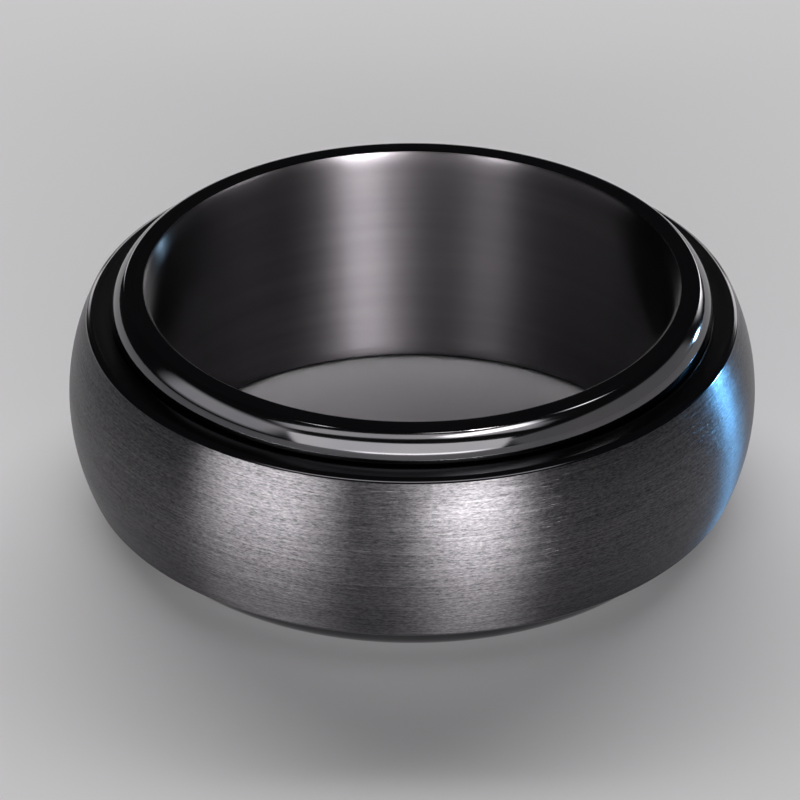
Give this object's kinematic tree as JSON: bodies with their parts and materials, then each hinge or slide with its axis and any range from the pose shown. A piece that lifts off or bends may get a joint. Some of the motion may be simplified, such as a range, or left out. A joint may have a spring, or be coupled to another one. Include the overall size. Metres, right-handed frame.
{
  "type": "spinner ring",
  "caption": "Finger ring whose domed, brushed outer band spins freely in a channel between the polished, rounded shoulders of the inner band.",
  "frame": {"origin": "on the ring's axis, at the lower end face that the ring lies on", "axes": "+Z along the ring's axis, upwards from the face that it lies on; X and Y are across the ring, which is round, so any direction serves"},
  "size_m": [0.0228, 0.0226, 0.008],
  "materials": {
    "polished_black": "mirror-polished gunmetal black plating on steel, with a satin honed finger hole",
    "brushed_black": "gunmetal black plating on steel, brushed round the circumference, with polished bevels and dull turned sides"
  },
  "bodies": {
    "inner_band": {"inner_band": "polished_black"},
    "spinner_band": {"spinner_band": "brushed_black"}
  },
  "joints": [
    {"name": "spinner_spin", "type": "hinge", "parent": "inner_band", "child": "spinner_band", "pos_m": [0, 0, 0.004], "axis": [0, 0, 1], "continuous": true}
  ]
}
